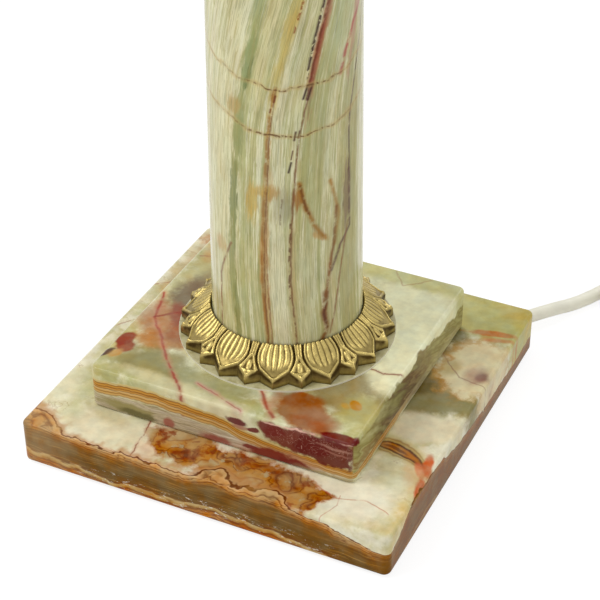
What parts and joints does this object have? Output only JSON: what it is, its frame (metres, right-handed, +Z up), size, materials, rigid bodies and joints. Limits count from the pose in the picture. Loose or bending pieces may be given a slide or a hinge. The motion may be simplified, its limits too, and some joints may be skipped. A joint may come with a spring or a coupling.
{
  "type": "column table lamp",
  "caption": "Column table lamp of banded onyx on a two-step square foot, with cast brass leaf collars, a switched screw lampholder and a white mains lead.",
  "frame": {"origin": "centre of the square foot's underside, on the table", "axes": "+Z up along the column's axis; +X and +Y along the sides of the square foot; the lead leaves the +Y side near the +X corner"},
  "size_m": [0.3081, 0.2971, 0.4783],
  "materials": {
    "felt": "matte",
    "onyx_foot": "polished",
    "onyx_step": "polished",
    "onyx_column": "polished",
    "onyx_cap": "polished",
    "cast_brass": "satin",
    "pale_disc": "satin",
    "zinc_steel": "satin",
    "turned_brass": "polished",
    "holder_brass": "polished",
    "bar_plastic": "gloss",
    "holder_ceramic": "satin",
    "contact_brass": "satin",
    "lead_sheath": "satin",
    "lead_moulding": "satin",
    "brown_wire": "satin",
    "blue_wire": "satin",
    "pin_metal": "polished"
  },
  "bodies": {
    "lamp": {"base_felt": "felt", "lower_plinth": "onyx_foot", "upper_plinth": "onyx_step", "column": "onyx_column", "cap_plate": "onyx_cap", "foot_collar": "cast_brass", "head_collar": "cast_brass", "foot_disc": "pale_disc", "head_disc": "pale_disc", "threaded_rod": "zinc_steel", "foot_washer": "zinc_steel", "foot_nut": "zinc_steel", "head_nut": "turned_brass", "vase_cap": "turned_brass", "neck": "turned_brass", "holder_cap": "holder_brass", "holder_shell": "holder_brass", "switch_block": "holder_ceramic", "holder_insert": "holder_ceramic", "terminal_screws": "contact_brass", "screw_shell": "contact_brass", "centre_contact": "contact_brass", "inner_lead": "lead_sheath", "wire_live": "brown_wire", "wire_neutral": "blue_wire", "cord_gland": "lead_moulding", "cord": "lead_sheath", "cord_coil": "lead_sheath", "cord_tail": "lead_sheath", "plug_body": "lead_moulding", "plug_pins": "pin_metal"},
    "switch_bar": {"switch_bar": "bar_plastic"},
    "shade_ring": {"shade_ring": "holder_brass"}
  },
  "joints": [
    {"name": "switch_push", "type": "slide", "parent": "lamp", "child": "switch_bar", "axis": [1, 0, 0], "range_m": [0, 0.005]},
    {"name": "shade_ring_turn", "type": "hinge", "parent": "lamp", "child": "shade_ring", "pos_m": [0, 0, 0.4579], "axis": [0, 0, 1], "range_deg": [0, 1080]}
  ]
}
